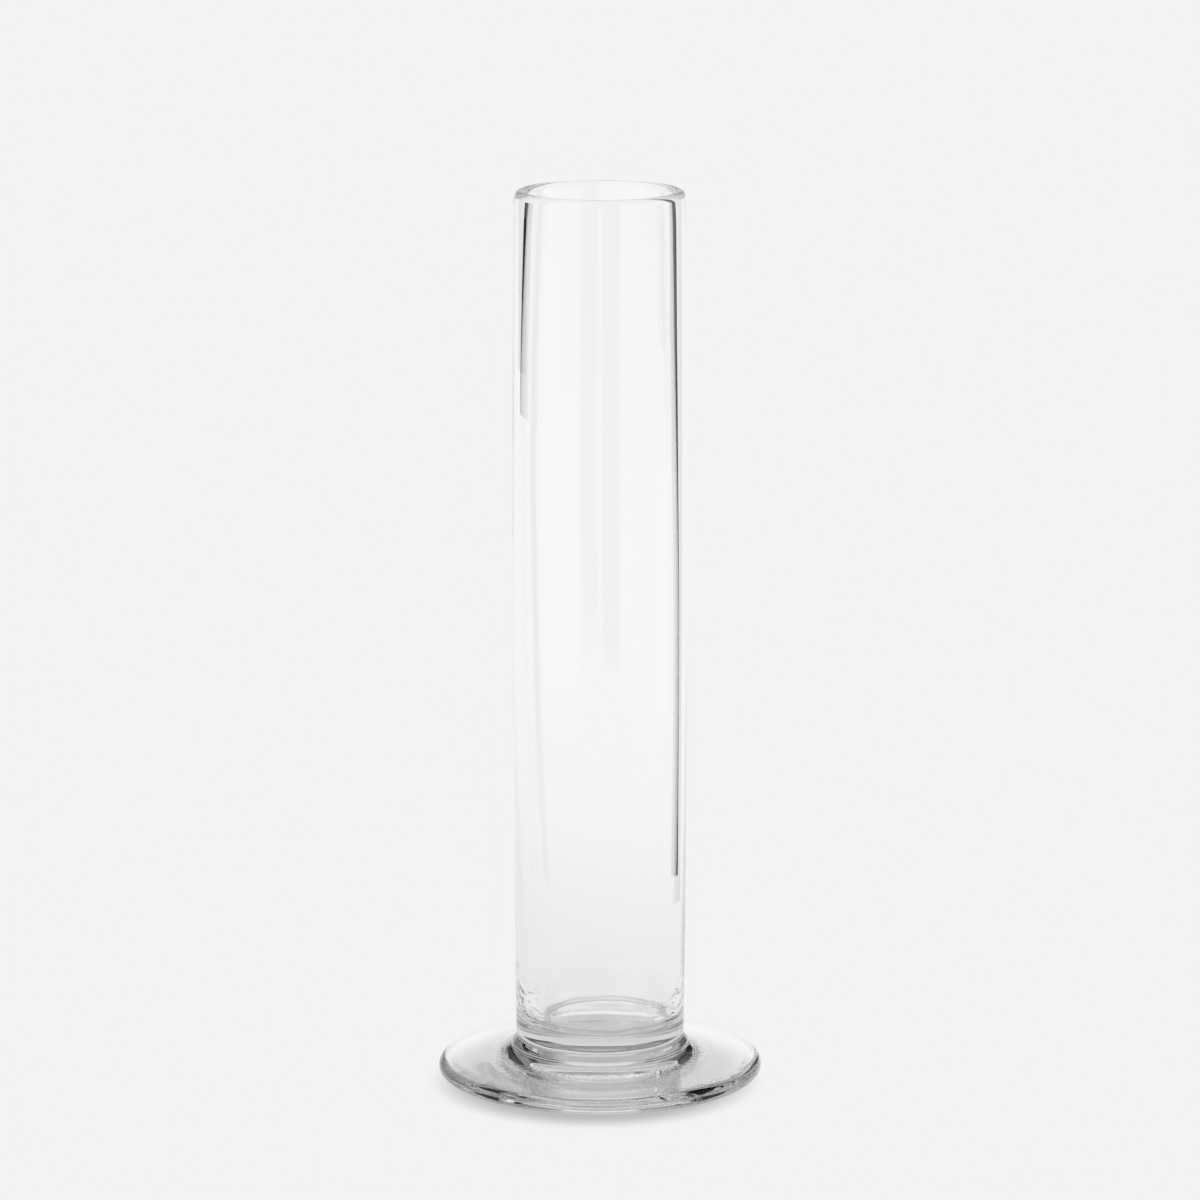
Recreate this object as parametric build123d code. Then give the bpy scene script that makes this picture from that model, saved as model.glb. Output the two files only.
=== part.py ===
from build123d import *
import os

# Gas jar: a mouth-blown cylinder of clear glass on a wide disc foot, all one piece.
# The tube has a thick wall, a fire-polished mouth and a solid glass base. The foot is a thin disc
# with a rounded lip, joined to the base by a cove, and it rests on a flat ring round a shallow hollow.
# Millimetres, +Z up the jar. The origin is the centre of the plane that the foot rests on.

# Overall size
height = 310.0               # from the resting plane to the crest of the mouth
foot_diameter = 115.0        # across the widest part of the lip

# Tube: it swells slightly between its ends, and its wall is thinnest there
tube_end_radius = 29.4       # outside, at the mouth and at the base
belly_swell = 0.7            # how much wider the belly's radius is
belly_height = 175.0         # where the outside and the bore are widest
mouth_wall = 4.8
belly_wall = 2.9
heel_wall = 6.0              # at the foot of the bore
base_thickness = 18.0        # solid glass under the edge of the bore's floor, down to the resting plane
floor_dip = 2.4              # how much lower the bore's floor is in the middle
floor_corner_width = 3.0     # the rounded corner between the bore's floor and its wall
floor_corner_height = 4.7

# Foot of the tube: its lower edge is rounded in to a crease, a short collar flares out under that,
# and a cove runs out from the collar onto the disc
crease_height = 12.7
crease_depth = 0.4           # how far the crease is cut into the tube's outside
edge_rounding_height = 2.3   # height of the rounded edge above the crease
collar_flare = 1.3           # how far the collar's foot stands out from the tube
collar_height = 10.5         # of the collar's foot, where the cove begins
cove_width = 6.9             # from the collar's foot to where the disc begins

# Disc of the foot
disc_hub_thickness = 6.7     # at the outer end of the cove
disc_shoulder_thickness = 5.0
lip_width = 3.5              # from the shoulder to the widest point
lip_height = 2.0             # of the widest point above the resting plane
lip_undercut = 1.6           # from the widest point in to the resting ring
resting_ring_width = 6.5
hollow_depth = 1.4           # under the middle of the foot
hollow_squareness = 2.7      # 2 is a dish, and more is flatter in the middle and steeper at its edge

# Points of the half section, as (radius, height)
foot_radius = foot_diameter / 2
belly_radius = tube_end_radius + belly_swell
mouth_bore_radius = tube_end_radius - mouth_wall
heel_bore_radius = tube_end_radius - heel_wall
floor_edge_radius = heel_bore_radius - floor_corner_width
bore_foot_height = base_thickness + floor_corner_height
collar_radius = tube_end_radius + collar_flare
hub_radius = collar_radius + cove_width
rim_roundness = mouth_wall / 2
rim_base_height = height - rim_roundness
shoulder_radius = foot_radius - lip_width
ring_outer_radius = foot_radius - lip_undercut
ring_inner_radius = ring_outer_radius - resting_ring_width

mouth_inside = (mouth_bore_radius, rim_base_height)
mouth_crest = (mouth_bore_radius + rim_roundness, height)
mouth_outside = (tube_end_radius, rim_base_height)
belly = (belly_radius, belly_height)
tube_lower_edge = (tube_end_radius, crease_height + edge_rounding_height)
crease = (tube_end_radius - crease_depth, crease_height)
collar_foot = (collar_radius, collar_height)
hub = (hub_radius, disc_hub_thickness)
shoulder = (shoulder_radius, disc_shoulder_thickness)
ring_outside = (ring_outer_radius, 0)
ring_inside = (ring_inner_radius, 0)
floor_centre = (0, base_thickness - floor_dip)
floor_edge = (floor_edge_radius, base_thickness)
bore_foot = (heel_bore_radius, bore_foot_height)
bore_belly = (belly_radius - belly_wall, belly_height)

# The hollow under the foot, from its middle out to the resting ring
hollow = [(ring_inner_radius * share, hollow_depth * (1 - share ** hollow_squareness))
          for share in (0, 0.25, 0.45, 0.65, 0.85, 1)]
hollow_edge_slope = (ring_inner_radius, -hollow_depth * hollow_squareness)
straight_down = (0, -1)
straight_out = (1, 0)


def half_section():
    """The glass on one side of the axis, as a closed face in the XZ plane."""
    with BuildSketch(Plane.XZ) as section:
        with BuildLine():
            ThreePointArc(mouth_inside, mouth_crest, mouth_outside)
            ThreePointArc(mouth_outside, belly, tube_lower_edge)
            TangentArc(tube_lower_edge, crease, tangent=straight_down)
            Line(crease, collar_foot)
            EllipticalCenterArc((hub_radius, collar_height), cove_width, collar_height - disc_hub_thickness,
                                180, arc_size=90)
            Line(hub, shoulder)
            EllipticalCenterArc((shoulder_radius, lip_height), lip_width, disc_shoulder_thickness - lip_height,
                                0, arc_size=90)
            EllipticalCenterArc((ring_outer_radius, lip_height), lip_undercut, lip_height, 270, arc_size=90)
            Line(ring_outside, ring_inside)
            Spline(*hollow, tangents=(straight_out, hollow_edge_slope))
            Line(hollow[0], floor_centre)
            TangentArc(floor_centre, floor_edge, tangent=straight_out)
            EllipticalCenterArc((floor_edge_radius, bore_foot_height), floor_corner_width, floor_corner_height,
                                270, arc_size=90)
            ThreePointArc(bore_foot, bore_belly, mouth_inside)
        make_face()
    return section.sketch


def jar():
    """The whole jar: the half section turned once round the axis."""
    with BuildPart() as turned:
        add(half_section())
        revolve(axis=Axis.Z)
    return turned.part


os.makedirs("parts", exist_ok=True)
export_step(jar(), "parts/jar.step")
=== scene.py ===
"""Gas jar: a mouth-blown cylinder of clear glass on a disc foot, with its floor, light and camera."""

import math

import bpy
from bpy.props import FloatProperty, IntProperty, PointerProperty
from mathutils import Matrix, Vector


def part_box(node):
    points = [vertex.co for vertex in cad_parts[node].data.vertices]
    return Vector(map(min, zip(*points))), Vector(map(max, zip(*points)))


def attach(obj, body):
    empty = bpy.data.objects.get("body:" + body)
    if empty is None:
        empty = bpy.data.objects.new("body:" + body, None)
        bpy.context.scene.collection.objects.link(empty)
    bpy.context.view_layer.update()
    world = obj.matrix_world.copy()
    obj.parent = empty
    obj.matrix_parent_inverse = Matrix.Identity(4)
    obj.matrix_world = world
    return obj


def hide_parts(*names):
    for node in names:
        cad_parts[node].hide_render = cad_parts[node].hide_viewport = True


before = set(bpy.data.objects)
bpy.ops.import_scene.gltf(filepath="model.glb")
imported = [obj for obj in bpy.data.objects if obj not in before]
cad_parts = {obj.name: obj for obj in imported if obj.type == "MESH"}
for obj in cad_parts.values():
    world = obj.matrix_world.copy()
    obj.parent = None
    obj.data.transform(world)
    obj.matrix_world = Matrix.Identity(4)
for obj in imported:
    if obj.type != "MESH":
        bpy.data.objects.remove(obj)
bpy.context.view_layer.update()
jar_low, jar_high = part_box("jar")

bl_info = {
    "name": "Gas Jar",
    "version": (1, 0, 0),
    "blender": (4, 5, 0),
    "location": "View3D > Sidebar > Gas Jar",
    "description": "Builds a blown glass gas jar with its stage",
    "category": "Object",
}

MM = 0.001
BODY = "root"
GLASS_SLOT = "clear_glass"
LIGHT_BOUNCES = 64       # light is guided round inside the foot, and is lost if it is followed for less
RIM_ROWS = 24            # rows of faces over the rounded mouth
WELD = 1e-6              # points closer than this are made one, in metres
SENSOR_WIDTH = 36.0      # in millimetres

# The course of the bore's lean: pairs of a share of its reach and a share of the full lean.
LEAN_LOW = (0.0, 1.0)
LEAN_HIGH = (1.0, 0.5)
LEAN_BETWEEN = ((0.06, 1.0), (0.12, 0.96), (0.26, 0.77), (0.5, 0.53), (0.8, 0.28), (0.9, 0.36))
MIDDLE_LEAN = 0.45       # the share at which the bore stands on the axis

# Standing cards: name, first and last bearing in degrees, distance, bottom and top in metres, and level.
# A bearing is 0 straight behind the jar and 90 at its right.
CARDS = (
    ("card_right", 47.5, 66.0, 0.25, 0.0, 0.36, 0.0),
    ("card_left", -66.0, -43.5, 0.9, 0.11, 0.5, 0.0),
    ("softbox_left", -153.0, -100.0, 0.55, 0.0, 0.3, 1.15),
    ("strip_right", 76.0, 106.0, 0.55, 0.0, 0.3, 1.1),
    ("camera_side", 153.0, 176.0, 0.7, 0.0, 0.4, 0.45),
)


def length(name, description, default_mm):
    """A property for a length, given in millimetres and kept in metres."""
    return FloatProperty(name=name, description=description, default=default_mm * MM,
                         unit="LENGTH", precision=5)


def number(name, description, default):
    """A property for a plain number, such as a brightness or a share."""
    return FloatProperty(name=name, description=description, default=default)


class JarSizes(bpy.types.PropertyGroup):
    """The section of the jar, as it is drawn before the glass is blown out of true."""

    height: FloatProperty(name="Height", description="Resting plane to the crest of the mouth",
                          default=jar_high[2] - jar_low[2], unit="LENGTH")
    foot_radius: FloatProperty(name="Foot radius", description="Axis to the widest point of the lip",
                               default=jar_high[0], unit="LENGTH")
    tube_end_radius: length("Tube end radius", "Outside radius at the mouth and at the base", 29.4)
    belly_swell: length("Belly swell", "How much wider the tube's radius is at its belly", 0.7)
    belly_height: length("Belly height", "Where the outside and the bore are widest", 175.0)
    mouth_wall: length("Mouth wall", "Thickness of the wall at the mouth", 4.8)
    belly_wall: length("Belly wall", "Thickness of the wall at the belly", 2.9)
    heel_wall: length("Heel wall", "Thickness of the wall at the foot of the bore", 6.0)
    base_thickness: length("Base thickness", "Solid glass under the edge of the bore's floor", 18.0)
    floor_dip: length("Floor dip", "How much lower the bore's floor is in the middle", 2.4)
    floor_corner_width: length("Floor corner width", "Of the rounded corner at the bore's floor", 3.0)
    floor_corner_height: length("Floor corner height", "Of the rounded corner at the bore's floor", 4.7)
    crease_height: length("Crease height", "Where the tube's rounded lower edge ends", 12.7)
    crease_depth: length("Crease depth", "How far the crease is cut into the tube's outside", 0.4)
    edge_rounding: length("Edge rounding", "Height of the rounded edge above the crease", 2.3)
    collar_flare: length("Collar flare", "How far the collar's foot stands out from the tube", 1.3)
    collar_height: length("Collar height", "Of the collar's foot, where the cove begins", 10.5)
    cove_width: length("Cove width", "From the collar's foot to where the disc begins", 6.9)
    hub_thickness: length("Hub thickness", "Disc thickness at the outer end of the cove", 6.7)
    shoulder_thickness: length("Shoulder thickness", "Disc thickness where the lip begins", 5.0)
    lip_width: length("Lip width", "From the shoulder to the widest point", 3.5)
    lip_height: length("Lip height", "Height of the widest point", 2.0)
    lip_undercut: length("Lip undercut", "From the widest point in to the resting ring", 1.6)
    resting_ring: length("Resting ring", "Width of the flat ring that the foot stands on", 6.5)
    hollow_depth: length("Hollow depth", "Under the middle of the foot", 1.4)
    hollow_squareness: number("Hollow squareness", "2 is a dish, and more is flatter in the middle", 2.7)


class JarHandwork(bpy.types.PropertyGroup):
    """How the blown glass departs from the drawn section."""

    segments: IntProperty(name="Segments", description="Faces round the jar", default=320, min=32)
    wall_wave: length("Wall wave", "Slow waves of the tube's outside", 0.05)
    bore_wave: length("Bore wave", "Slow waves of the bore", 0.08)
    bore_lean: length("Bore lean", "How far the bore moves from side to side along the jar", 2.7)
    lean_reach: length("Lean reach", "Height over which the lean runs its course", 310.0)
    foot_oval: length("Foot oval", "How much narrower the foot is across than fore and aft, in radius", 1.0)
    foot_tilt: number("Foot tilt", "Rise of the disc's top towards +X, per metre", 0.011)
    absorption: number("Absorption", "Light that the glass takes up, per metre", 3.5)
    seed: IntProperty(name="Seed", description="Picks one jar out of the batch", default=7)


class JarMarks(bpy.types.PropertyGroup):
    """Heights of the marks that blowing and pressing left in the surface. They are drawn as bumps."""

    ripple: length("Ripple", "Slow ripple all over", 0.02)
    ragged_ring: length("Ragged ring", "Fine roughness round the outer part of the cove", 0.35)
    swirl: length("Swirl", "Unevenness of the bore's floor", 0.3)
    corner_groove: length("Corner groove", "Wandering groove round the edge of the bore's floor", 0.35)
    tears: length("Tears", "Torn patches at both sides of the heel", 0.8)
    fold: length("Fold", "Sunk line across the disc, at the front right", 0.2)


class StageSettings(bpy.types.PropertyGroup):
    """The floor, the light round the jar and the camera. Levels are brightnesses, and 1 is white."""

    floor_level: number("Floor level", "The open floor and the empty backdrop, to the camera", 0.896)
    floor_through_glass: number("Floor through glass", "The open floor, through the glass", 0.935)
    # Floor shade sets the depth of the painted shade on the floor round the foot. Near dimming sets the
    # painted shade on the floor near the jar, which only the glass sees.
    floor_shade: number("Floor shade", "Share of the light that the foot takes off the floor", 0.44)
    painted_near_shade: number("Near dimming", "Share that the floor near the jar loses, through the glass", 0.07)
    room_level: number("Room level", "The dim room between the lights", 0.3)
    window_level: number("Window level", "The bright window behind the jar", 1.05)
    left_level: number("Left softbox level", "In front and to the left", 0.72)
    right_level: number("Right softbox level", "To the right and a little in front", 0.7)
    top_level: number("Top level", "High on the left, in front and behind", 0.6)
    low_left_glow: number("Low left glow", "Added to the room, low on the left", 0.3)
    dark_right: number("Dark right", "Share of light lost at the wall behind, to the right", 0.95)
    dark_left: number("Dark left", "Share of light lost at the wall behind, to the left", 0.7)
    camera_distance: FloatProperty(name="Camera distance", description="Camera to the jar's axis, level",
                                   default=1.853, unit="LENGTH")
    camera_height: FloatProperty(name="Camera height", description="Camera above the floor", default=0.5477,
                                 unit="LENGTH")
    camera_pitch: FloatProperty(name="Camera pitch", description="How far the camera looks down",
                                default=math.radians(11.59), subtype="ANGLE")
    focal_length: number("Focal length", "In millimetres, on a 36 mm sensor", 164.4)


# ---------------------------------------------------------------- node trees


class Value:
    """A socket whose arithmetic is written as Python expressions; each adds a Math node."""

    def __init__(self, tree, socket):
        self.tree = tree
        self.socket = socket

    def math(self, operation, *others):
        node = self.tree.nodes.new("ShaderNodeMath")
        node.operation = operation
        for slot, value in zip(node.inputs, (self, *others)):
            plug(self.tree, slot, value)
        return Value(self.tree, node.outputs[0])

    def __add__(self, other):
        return self.math("ADD", other)

    def __sub__(self, other):
        return self.math("SUBTRACT", other)

    def __mul__(self, other):
        return self.math("MULTIPLY", other)

    def __truediv__(self, other):
        return self.math("DIVIDE", other)

    def __rsub__(self, other):
        return (self * -1.0).math("ADD", other)

    __radd__ = __add__
    __rmul__ = __mul__

    def smooth(self, start, end):
        """0 before start, 1 after end, and a smooth step between."""
        node = self.tree.nodes.new("ShaderNodeMapRange")
        node.interpolation_type = "SMOOTHSTEP"
        plug(self.tree, node.inputs["Value"], self)
        plug(self.tree, node.inputs["From Min"], start)
        plug(self.tree, node.inputs["From Max"], end)
        return Value(self.tree, node.outputs["Result"])

    def zone(self, middle, half_width, edge):
        """1 within half_width of middle, falling smoothly to 0 over the edge beyond it."""
        return 1.0 - (self - middle).math("ABSOLUTE").smooth(half_width, half_width + edge)


def plug(tree, slot, value):
    """Feeds a socket with a Value, a socket or a plain number, colour or vector."""
    if isinstance(value, Value):
        tree.links.new(value.socket, slot)
    elif isinstance(value, bpy.types.NodeSocket):
        tree.links.new(value, slot)
    else:
        slot.default_value = value


class Tree:
    """A node tree with one short way to add a node."""

    def __init__(self, tree):
        self.tree = tree
        tree.nodes.clear()

    def add(self, kind, settings=None, sockets=None):
        """Adds a node. Its settings are set first, then its sockets, by name or number."""
        node = self.tree.nodes.new(kind)
        for name, value in (settings or {}).items():
            setattr(node, name, value)
        for name, value in (sockets or {}).items():
            plug(self.tree, node.inputs[name], value)
        return node

    def value(self, kind, output, settings=None, sockets=None):
        """Adds a node and gives one of its outputs as a Value."""
        return Value(self.tree, self.add(kind, settings, sockets).outputs[output])


# ---------------------------------------------------------------- the section of the jar


def arc(centre, radius_r, radius_z, start, end, rows):
    """Points along part of an ellipse, without its first point. Angles are in degrees."""
    points = []
    for i in range(1, rows + 1):
        angle = math.radians(start + (end - start) * i / rows)
        points.append((centre[0] + radius_r * math.cos(angle), centre[1] + radius_z * math.sin(angle)))
    return points


def straight(start, end, rows):
    """Points along a line, without its first point."""
    return [(start[0] + (end[0] - start[0]) * i / rows, start[1] + (end[1] - start[1]) * i / rows)
            for i in range(1, rows + 1)]


def bow(start, middle_radius, middle_height, end, rows):
    """Points up from start to end, swelling as a parabola to the middle radius, closest near the start."""
    crowding = 1.5
    points = []
    for i in range(1, rows + 1):
        z = start[1] + (end[1] - start[1]) * (i / rows) ** crowding
        side = start if z < middle_height else end
        share = (z - middle_height) / (side[1] - middle_height)
        points.append((middle_radius + (side[0] - middle_radius) * share ** 2, z))
    return points


def jar_section(s):
    """The half section from the hollow under the foot, out and up, over the mouth and down the bore."""
    ring_outer = s.foot_radius - s.lip_undercut
    ring_inner = ring_outer - s.resting_ring
    shoulder = (s.foot_radius - s.lip_width, s.shoulder_thickness)
    collar_foot = (s.tube_end_radius + s.collar_flare, s.collar_height)
    hub = (collar_foot[0] + s.cove_width, s.hub_thickness)
    crease = (s.tube_end_radius - s.crease_depth, s.crease_height)
    lower_edge = (s.tube_end_radius, s.crease_height + s.edge_rounding)
    rim = s.mouth_wall / 2
    rim_base = s.height - rim
    mouth_bore = s.tube_end_radius - s.mouth_wall
    belly_radius = s.tube_end_radius + s.belly_swell
    bore_foot = (s.tube_end_radius - s.heel_wall, s.base_thickness + s.floor_corner_height)
    floor_radius = bore_foot[0] - s.floor_corner_width

    points = [(0.0, s.hollow_depth)]
    points += [(r, s.hollow_depth * (1 - (r / ring_inner) ** s.hollow_squareness))
               for r, _ in straight((0, 0), (ring_inner, 0), rows=24)]
    points += straight((ring_inner, 0), (ring_outer, 0), rows=4)
    points += arc((ring_outer, s.lip_height), s.lip_undercut, s.lip_height, -90, 0, rows=12)
    points += arc((shoulder[0], s.lip_height), s.lip_width, shoulder[1] - s.lip_height, 0, 90, rows=20)
    points += straight(shoulder, hub, rows=12)
    points += arc((hub[0], collar_foot[1]), s.cove_width, collar_foot[1] - hub[1], 270, 180, rows=20)
    points += straight(collar_foot, crease, rows=6)
    points += arc((crease[0], lower_edge[1]), s.crease_depth, s.edge_rounding, -90, 0, rows=8)
    points += bow(lower_edge, belly_radius, s.belly_height, (s.tube_end_radius, rim_base), rows=60)
    points += arc((mouth_bore + rim, rim_base), rim, rim, 0, 180, RIM_ROWS)
    bore_top = (mouth_bore, rim_base)
    bore = [bore_foot] + bow(bore_foot, belly_radius - s.belly_wall, s.belly_height, bore_top, rows=60)
    points += bore[-2::-1]
    points += arc((floor_radius, bore_foot[1]), s.floor_corner_width, s.floor_corner_height, 0, -90, rows=14)
    points += [(r, s.base_thickness - s.floor_dip * (1 - (r / floor_radius) ** 2))
               for r, _ in straight((floor_radius, 0), (0, 0), rows=20)]
    return points


def bore_shares(section):
    """For each point of the section, 0 outside and 1 in the bore, with a ramp between them over the rim."""
    crest = max(range(len(section)), key=lambda i: section[i][1])
    return [min(1.0, max(0.0, (i - crest) / RIM_ROWS + 0.5)) for i in range(len(section))]


# ---------------------------------------------------------------- the blown shape, as a Geometry Nodes tree


def lathe_tree(name, material):
    """Turns a section, drawn as a chain of vertices in XZ, into a closed jar, and blows it out of true."""
    group = bpy.data.node_groups.new(name, "GeometryNodeTree")
    face = group.interface
    face.new_socket("Section", in_out="INPUT", socket_type="NodeSocketGeometry")
    for label, kind, default in (
        ("Segments", "NodeSocketInt", 256),
        ("Wall Wave", "NodeSocketFloat", 0.0),
        ("Bore Wave", "NodeSocketFloat", 0.0),
        ("Bore Lean", "NodeSocketFloat", 0.0),
        ("Lean Reach", "NodeSocketFloat", 0.31),
        ("Foot Oval", "NodeSocketFloat", 0.0),
        ("Foot Tilt", "NodeSocketFloat", 0.0),
        ("Foot Radius", "NodeSocketFloat", 0.0575),
        ("Seed", "NodeSocketFloat", 0.0),
    ):
        face.new_socket(label, in_out="INPUT", socket_type=kind).default_value = default
    face.new_socket("Jar", in_out="OUTPUT", socket_type="NodeSocketGeometry")

    t = Tree(group)
    given = t.add("NodeGroupInput").outputs

    def take(label):
        return Value(group, given[label])

    rows = t.value("GeometryNodeAttributeDomainSize", "Point Count", sockets={0: given["Section"]})
    grid = t.add("GeometryNodeMeshGrid", sockets={"Vertices X": take("Segments") + 1.0, "Vertices Y": rows})
    index = t.value("GeometryNodeInputIndex", 0)
    rounding_guard = 1e-4
    column = (index / rows + rounding_guard).math("FLOOR")
    row = index - column * rows

    position = t.value("GeometryNodeInputPosition", 0)
    spot = t.add("GeometryNodeSampleIndex", {"data_type": "FLOAT_VECTOR"},
                 {"Geometry": given["Section"], "Value": position, "Index": row})
    bore = t.add("GeometryNodeSampleIndex", {"data_type": "FLOAT"}, {
        "Geometry": given["Section"], "Index": row,
        "Value": t.value("GeometryNodeInputNamedAttribute", 0, {"data_type": "FLOAT"}, {"Name": "bore"})})
    bore = Value(group, bore.outputs[0])
    split = t.add("ShaderNodeSeparateXYZ", sockets={0: spot.outputs[0]}).outputs
    radius, height = Value(group, split["X"]), Value(group, split["Z"])
    angle = column / take("Segments") * (2 * math.pi)
    across, along = angle.math("COSINE"), angle.math("SINE")

    def noise(scale_round, scale_up, seed):
        """A slow noise between about -1 and 1 that closes on itself round the jar."""
        where = t.value("ShaderNodeCombineXYZ", 0, sockets={
            "X": across * scale_round, "Y": along * scale_round, "Z": height * scale_up})
        cloud = t.value("ShaderNodeTexNoise", 0, {"noise_dimensions": "4D"}, {
            "Vector": where, "W": take("Seed") + seed, "Scale": 1.0, "Detail": 1.0})
        return (cloud - 0.5) * 2.5

    off_axis = radius.smooth(2.0 * MM, 12.0 * MM)
    tube_side = height.smooth(12.0 * MM, 30.0 * MM)
    wall = noise(scale_round=1.3, scale_up=7.0, seed=0.0) * take("Wall Wave") * tube_side
    inner = noise(scale_round=1.5, scale_up=8.0, seed=5.0) * take("Bore Wave") * bore
    lean = t.add("ShaderNodeFloatCurve", sockets={"Value": height / take("Lean Reach")})
    curve = lean.mapping.curves[0].points
    curve[0].location, curve[1].location = LEAN_LOW, LEAN_HIGH
    for place, value in LEAN_BETWEEN:
        curve.new(place, value)
    lean.mapping.update()
    bore_lean = (Value(group, lean.outputs[0]) - MIDDLE_LEAN) * take("Bore Lean") * bore
    radius = radius + (wall + inner) * off_axis

    foot = radius.smooth(34.0 * MM, 50.0 * MM)
    full_tilt_height = 5.6 * MM
    rise = (height / full_tilt_height).math("MINIMUM", 1.0)
    x = radius * across * (1.0 - foot * take("Foot Oval") / take("Foot Radius")) + bore_lean * off_axis
    y = radius * along
    z = height + x * take("Foot Tilt") * rise * foot

    placed = t.add("GeometryNodeSetPosition", sockets={
        "Geometry": grid.outputs["Mesh"],
        "Position": t.value("ShaderNodeCombineXYZ", 0, sockets={"X": x, "Y": y, "Z": z})})
    closed = t.add("GeometryNodeMergeByDistance", sockets={"Geometry": placed.outputs[0], "Distance": WELD})
    soft = t.add("GeometryNodeSetShadeSmooth", sockets={"Geometry": closed.outputs[0]})
    whole = t.add("GeometryNodeRealizeInstances", sockets={"Geometry": soft.outputs[0]})
    glazed = t.add("GeometryNodeSetMaterial", sockets={"Geometry": whole.outputs[0], "Material": material})
    t.add("NodeGroupOutput", sockets={"Jar": glazed.outputs[0]})
    return group


def grow(name, chain, attributes, tree, inputs):
    """Runs a node tree on a chain of vertices and gives the result as a plain mesh object."""
    seed_mesh = bpy.data.meshes.new(name + "_section")
    seed_mesh.from_pydata([(r, 0.0, z) for r, z in chain], [(i, i + 1) for i in range(len(chain) - 1)], [])
    for label, values in attributes.items():
        layer = seed_mesh.attributes.new(label, "FLOAT", "POINT")
        layer.data.foreach_set("value", values)
    piece = bpy.data.objects.new(name, seed_mesh)
    bpy.context.scene.collection.objects.link(piece)
    modifier = piece.modifiers.new("blown", "NODES")
    modifier.node_group = tree
    for item in tree.interface.items_tree:
        if item.in_out == "INPUT" and item.name in inputs:
            modifier[item.identifier] = inputs[item.name]
    depsgraph = bpy.context.evaluated_depsgraph_get()
    finished = bpy.data.meshes.new_from_object(piece.evaluated_get(depsgraph), depsgraph=depsgraph)
    piece.modifiers.remove(modifier)
    piece.data = finished
    finished.name = name
    bpy.data.meshes.remove(seed_mesh)
    return piece


# ---------------------------------------------------------------- materials


def glass_relief(t, marks):
    """The height of every mark in the glass added up, in metres."""
    place = t.add("ShaderNodeTexCoord").outputs["Object"]
    way = t.add("ShaderNodeSeparateXYZ", sockets={0: place}).outputs
    x, y, z = (Value(t.tree, way[name]) for name in "XYZ")
    radius = (x * x + y * y).math("SQRT")

    def cloud(scale, stretch, detail):
        """A noise about 0, in which stretch is how much longer its marks are up the jar than across it."""
        where = t.value("ShaderNodeMapping", 0, sockets={
            "Vector": place, "Scale": (1.0, 1.0, 1.0 / stretch)})
        noise = t.value("ShaderNodeTexNoise", 0, sockets={
            "Vector": where, "Scale": scale, "Detail": detail})
        return noise - 0.5

    def ring(middle_mm, half_width_mm, edge_mm):
        """1 on a ring about the axis, and 0 elsewhere."""
        return radius.zone(middle_mm * MM, half_width_mm * MM, edge_mm * MM)

    def layer(middle_mm, half_width_mm, edge_mm):
        """1 between two heights, and 0 elsewhere."""
        return z.zone(middle_mm * MM, half_width_mm * MM, edge_mm * MM)

    ripple = cloud(scale=45.0, stretch=3.0, detail=1.0) * marks.ripple

    cove_edge = ring(36.0, 1.3, 1.0) * z.smooth(4.0 * MM, 5.0 * MM)
    ragged = cloud(scale=600.0, stretch=1.0, detail=3.0) * cove_edge * marks.ragged_ring

    bore_floor = (1.0 - radius.smooth(17.0 * MM, 21.0 * MM)) * layer(18.0, 4.0, 2.0)
    swirl = cloud(scale=90.0, stretch=1.0, detail=1.0) * bore_floor * marks.swirl

    groove_height, groove_wander = 20.0 * MM, 2.0 * MM
    corner = z - groove_height + cloud(scale=70.0, stretch=1.0, detail=2.0) * groove_wander
    groove = corner.zone(0.0, 0.3 * MM, 0.8 * MM) * ring(22.0, 2.0, 0.5) * -marks.corner_groove

    sides = x.math("ABSOLUTE").smooth(14.0 * MM, 20.0 * MM)
    heel = ring(23.5, 2.0, 1.5) * layer(27.0, 3.0, 4.0) * sides
    tears = cloud(scale=110.0, stretch=0.5, detail=2.0) * heel * marks.tears

    fold_across, fold_wander = 20.5 * MM, 3.0 * MM
    fold_line = x - fold_across + cloud(scale=110.0, stretch=1.0, detail=1.0) * fold_wander
    front = y.zone(-39.0 * MM, 11.0 * MM, 3.0 * MM) * z.smooth(3.0 * MM, 4.0 * MM)
    fold = fold_line.zone(0.0, 0.1 * MM, 1.3 * MM) * front * -marks.fold

    return ripple + ragged + swirl + groove + tears + fold


def clear_glass(absorption, marks):
    """Clear, colourless glass. It takes up light evenly, so long paths inside it look darker."""
    material = bpy.data.materials.new(GLASS_SLOT)
    material.use_nodes = True
    t = Tree(material.node_tree)
    out = t.add("ShaderNodeOutputMaterial")
    relief = glass_relief(t, marks)
    bump = t.add("ShaderNodeBump", sockets={"Strength": 1.0, "Distance": 1.0, "Height": relief})
    shader = t.add("ShaderNodeBsdfPrincipled", sockets={
        "Base Color": (1.0, 1.0, 1.0, 1.0), "Roughness": 0.0, "IOR": 1.5, "Transmission Weight": 1.0,
        "Normal": bump.outputs[0]})
    t.tree.links.new(shader.outputs[0], out.inputs["Surface"])
    dimming = t.add("ShaderNodeVolumeAbsorption", sockets={
        "Color": (0.0, 0.0, 0.0, 1.0), "Density": absorption})
    t.tree.links.new(dimming.outputs[0], out.inputs["Volume"])
    return material


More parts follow.
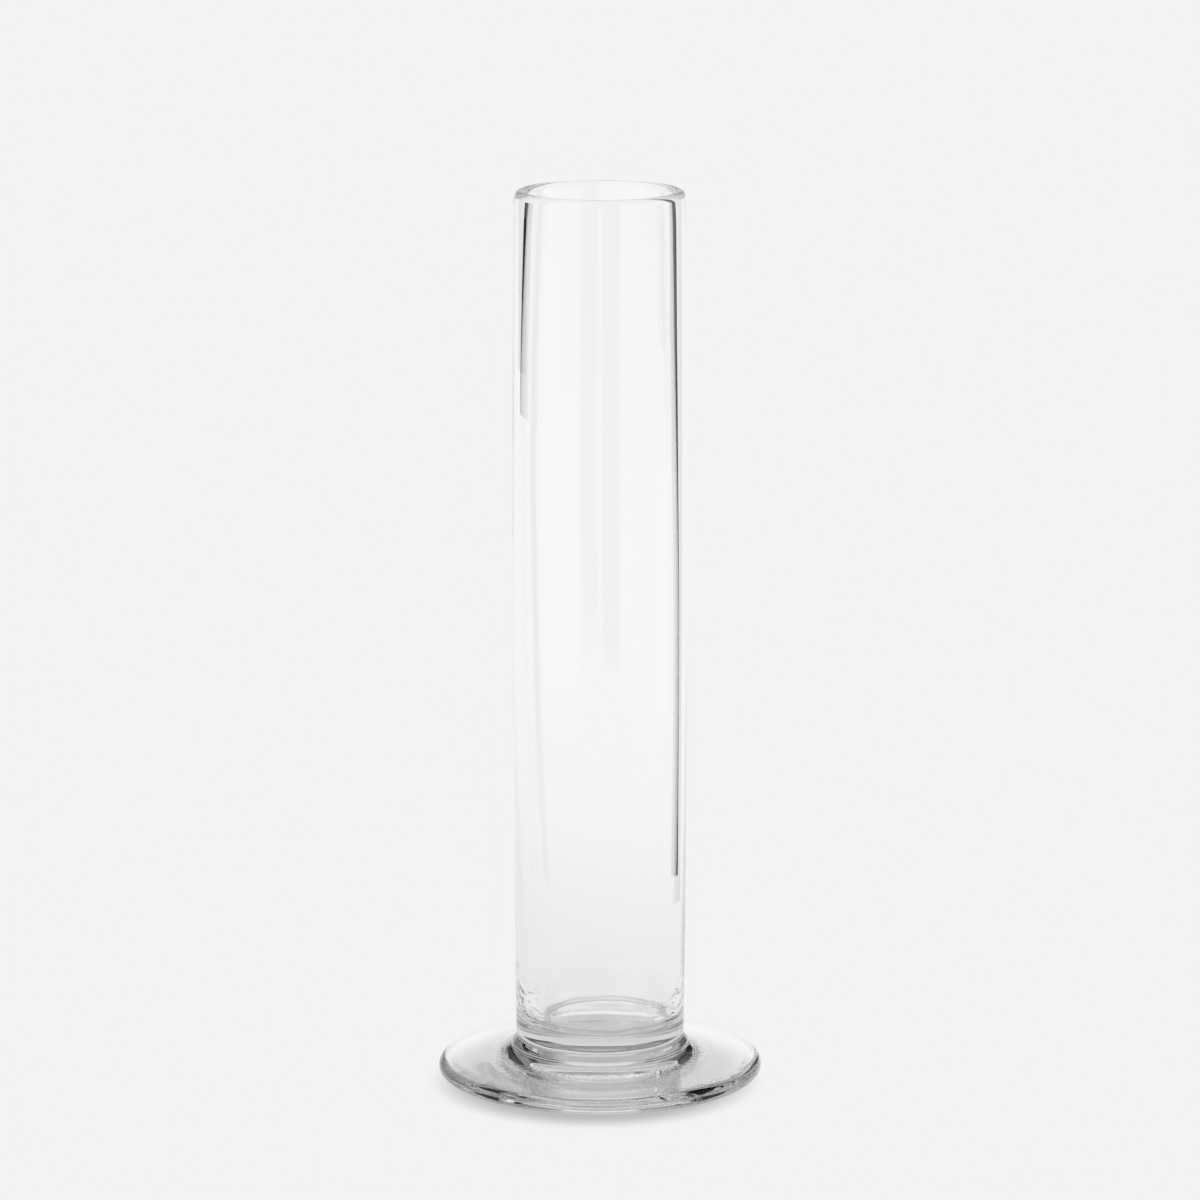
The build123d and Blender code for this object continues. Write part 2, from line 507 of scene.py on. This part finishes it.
def floor_paint(settings):
    """A pale floor that gives its own light. The foot's shade on it is painted in a fixed place, and so is a
    darker floor near the jar that only the glass sees.
    """
    material = bpy.data.materials.new("stage_floor")
    material.use_nodes = True
    t = Tree(material.node_tree)
    out = t.add("ShaderNodeOutputMaterial")
    place = t.add("ShaderNodeTexCoord").outputs["Object"]
    # Painted shade: the floor's glow is lower within about 60 mm of a point just in front of the jar's axis,
    # where the foot would shade it.
    shade_middle = (-1.6 * MM, -15.0 * MM, 0.0)
    away = t.value("ShaderNodeVectorMath", "Value", {"operation": "DISTANCE"}, {0: place, 1: shade_middle})
    shade = 1.0 - away.smooth(43.0 * MM, 60.0 * MM)
    # Painted shade: seen through the glass, the floor is darker near the jar. It reaches its full level
    # about 0.38 m away.
    undimmed = 1.0 - settings.painted_near_shade
    open_share = undimmed + away.smooth(120.0 * MM, 380.0 * MM) * settings.painted_near_shade
    through_glass = settings.floor_through_glass * open_share
    straight_seen = t.value("ShaderNodeLightPath", "Is Camera Ray")
    level = through_glass + straight_seen * (settings.floor_level - through_glass)
    glow = (1.0 - shade * settings.floor_shade) * level
    colour = t.value("ShaderNodeCombineColor", 0, sockets={"Red": glow, "Green": glow, "Blue": glow})
    shader = t.add("ShaderNodeEmission", sockets={"Color": colour, "Strength": 1.0})
    t.tree.links.new(shader.outputs[0], out.inputs["Surface"])
    material.cycles.emission_sampling = "NONE"
    return material


def card_paint(name, level):
    """A studio card or softbox of one even brightness."""
    material = bpy.data.materials.new(name)
    material.use_nodes = True
    t = Tree(material.node_tree)
    out = t.add("ShaderNodeOutputMaterial")
    shader = t.add("ShaderNodeEmission", sockets={"Strength": level})
    t.tree.links.new(shader.outputs[0], out.inputs["Surface"])
    material.cycles.emission_sampling = "NONE"
    return material


# ---------------------------------------------------------------- the stage


def light_room(settings):
    """A dim room that only the glass sees, with a window behind the jar, softboxes and two dark walls."""
    world = bpy.data.worlds.new("studio")
    bpy.context.scene.world = world
    world.use_nodes = True
    t = Tree(world.node_tree)
    direction = t.add("ShaderNodeTexCoord").outputs["Generated"]
    way = t.add("ShaderNodeSeparateXYZ", sockets={0: direction}).outputs
    x, y, up = (Value(t.tree, way[name]) for name in "XYZ")
    bearing = x.math("ARCTAN2", y) * (180 / math.pi)
    room = settings.room_level

    def below(start, end):
        """1 low down, fading to 0 between two heights. Straight up is 1."""
        return 1.0 - up.smooth(start, end)

    # A zone is a middle, a half width and an edge, in degrees, on the same bearings as the cards.
    window = bearing.zone(0.0, 12.0, 5.0) * below(0.4, 0.6) * (settings.window_level - room)
    left = bearing.zone(-140.0, 30.0, 14.0) * below(0.75, 0.9) * (settings.left_level - room)
    right = bearing.zone(115.0, 30.0, 12.0) * below(0.25, 0.45) * (settings.right_level - room)
    top = bearing.zone(-70.0, 90.0, 20.0) * up.smooth(0.4, 0.55) * (settings.top_level - room)
    low_left = bearing.zone(-75.0, 25.0, 10.0) * below(0.15, 0.25) * settings.low_left_glow
    low = below(0.2, 0.35)
    right_wall = 1.0 - bearing.zone(38.0, 18.0, 5.0) * low * settings.dark_right
    left_wall = 1.0 - bearing.zone(-36.0, 14.0, 5.0) * low * settings.dark_left
    glow = window + left + right + top + low_left + room

    # At the horizon the room is as bright as the floor, so that they meet without a line.
    horizon = below(0.08, 0.16)
    glow = (glow + horizon * (settings.floor_through_glass - glow)) * right_wall * left_wall

    # The camera sees an even backdrop in place of the room.
    white = (1, 1, 1, 1)
    backdrop = t.add("ShaderNodeBackground", sockets={"Color": white, "Strength": settings.floor_level})
    lit = t.add("ShaderNodeBackground", sockets={"Color": white, "Strength": glow})
    pick = t.add("ShaderNodeMixShader", sockets={
        0: t.add("ShaderNodeLightPath").outputs["Is Camera Ray"], 1: lit.outputs[0], 2: backdrop.outputs[0]})
    t.add("ShaderNodeOutputWorld", sockets={"Surface": pick.outputs[0]})


def add_floor(settings):
    """A wide pale floor, a hair below the resting plane."""
    mesh = bpy.data.meshes.new("floor")
    reach = 40.0
    hair = 0.1 * MM
    level = jar_low[2] - hair
    corners = [(x * reach, y * reach, level) for x, y in ((-1, -1), (1, -1), (1, 1), (-1, 1))]
    mesh.from_pydata(corners, [], [(0, 1, 2, 3)])
    mesh.materials.append(floor_paint(settings))
    floor = bpy.data.objects.new("floor", mesh)
    bpy.context.scene.collection.objects.link(floor)


def add_card(name, first, last, distance, bottom, top, level):
    """A standing card, curved round the jar from one bearing to another, which only the glass sees."""
    steps = 12
    points = []
    for i in range(steps + 1):
        a = math.radians(first + (last - first) * i / steps)
        points += [(distance * math.sin(a), distance * math.cos(a), z) for z in (bottom, top)]
    mesh = bpy.data.meshes.new(name)
    mesh.from_pydata(points, [], [(2 * i, 2 * i + 2, 2 * i + 3, 2 * i + 1) for i in range(steps)])
    mesh.materials.append(card_paint(name, level))
    card = bpy.data.objects.new(name, mesh)
    bpy.context.scene.collection.objects.link(card)
    card.visible_camera = False
    card.visible_diffuse = False
    card.visible_shadow = False


def add_camera(settings):
    """The camera, in front of the jar and looking a little down on it."""
    data = bpy.data.cameras.new("camera")
    data.sensor_width = SENSOR_WIDTH
    data.lens = settings.focal_length
    data.clip_end = 200.0
    camera = bpy.data.objects.new("camera", data)
    bpy.context.scene.collection.objects.link(camera)
    camera.location = (0.0, -settings.camera_distance, settings.camera_height)
    camera.rotation_euler = (math.pi / 2 - settings.camera_pitch, 0.0, 0.0)
    bpy.context.scene.camera = camera


# ---------------------------------------------------------------- operators


class GASJAR_OT_jar(bpy.types.Operator):
    """Blow the jar"""

    bl_idname = "gas_jar.jar"
    bl_label = "Jar"

    def execute(self, context):
        sizes, hand = context.scene.gas_jar_sizes, context.scene.gas_jar_hand
        section = jar_section(sizes)
        tree = lathe_tree("blown_jar", clear_glass(hand.absorption, context.scene.gas_jar_marks))
        jar = grow("jar_glass", section, {"bore": bore_shares(section)}, tree, {
            "Segments": hand.segments, "Wall Wave": hand.wall_wave, "Bore Wave": hand.bore_wave,
            "Bore Lean": hand.bore_lean, "Lean Reach": hand.lean_reach, "Foot Oval": hand.foot_oval,
            "Foot Tilt": hand.foot_tilt, "Foot Radius": sizes.foot_radius, "Seed": float(hand.seed)})
        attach(jar, BODY)
        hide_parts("jar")
        return {"FINISHED"}


class GASJAR_OT_stage(bpy.types.Operator):
    """Set the floor, the light and the camera"""

    bl_idname = "gas_jar.stage"
    bl_label = "Stage"

    def execute(self, context):
        settings = context.scene.gas_jar_stage
        light_room(settings)
        add_floor(settings)
        for card in CARDS:
            add_card(*card)
        add_camera(settings)
        context.scene.view_settings.view_transform = "Standard"
        cycles = context.scene.cycles
        cycles.max_bounces = cycles.transmission_bounces = cycles.glossy_bounces = LIGHT_BOUNCES
        return {"FINISHED"}


class GASJAR_PT_panel(bpy.types.Panel):
    """The jar's sizes and its stage"""

    bl_idname = "GASJAR_PT_panel"
    bl_label = "Gas Jar"
    bl_space_type = "VIEW_3D"
    bl_region_type = "UI"
    bl_category = "Gas Jar"

    def draw(self, context):
        scene = context.scene
        for group in (scene.gas_jar_sizes, scene.gas_jar_hand, scene.gas_jar_marks, scene.gas_jar_stage):
            for name in group.bl_rna.properties.keys():
                if name not in {"rna_type", "name"}:
                    self.layout.prop(group, name)
        self.layout.operator(GASJAR_OT_jar.bl_idname)
        self.layout.operator(GASJAR_OT_stage.bl_idname)


CLASSES = (JarSizes, JarHandwork, JarMarks, StageSettings, GASJAR_OT_jar, GASJAR_OT_stage, GASJAR_PT_panel)


def register():
    for kind in CLASSES:
        bpy.utils.register_class(kind)
    bpy.types.Scene.gas_jar_sizes = PointerProperty(type=JarSizes)
    bpy.types.Scene.gas_jar_hand = PointerProperty(type=JarHandwork)
    bpy.types.Scene.gas_jar_marks = PointerProperty(type=JarMarks)
    bpy.types.Scene.gas_jar_stage = PointerProperty(type=StageSettings)


def unregister():
    del bpy.types.Scene.gas_jar_stage
    del bpy.types.Scene.gas_jar_marks
    del bpy.types.Scene.gas_jar_hand
    del bpy.types.Scene.gas_jar_sizes
    for kind in reversed(CLASSES):
        bpy.utils.unregister_class(kind)


def main():
    """Sets the stage and blows the jar."""
    register()
    bpy.ops.gas_jar.stage()
    bpy.ops.gas_jar.jar()


if __name__ == "__main__":
    main()
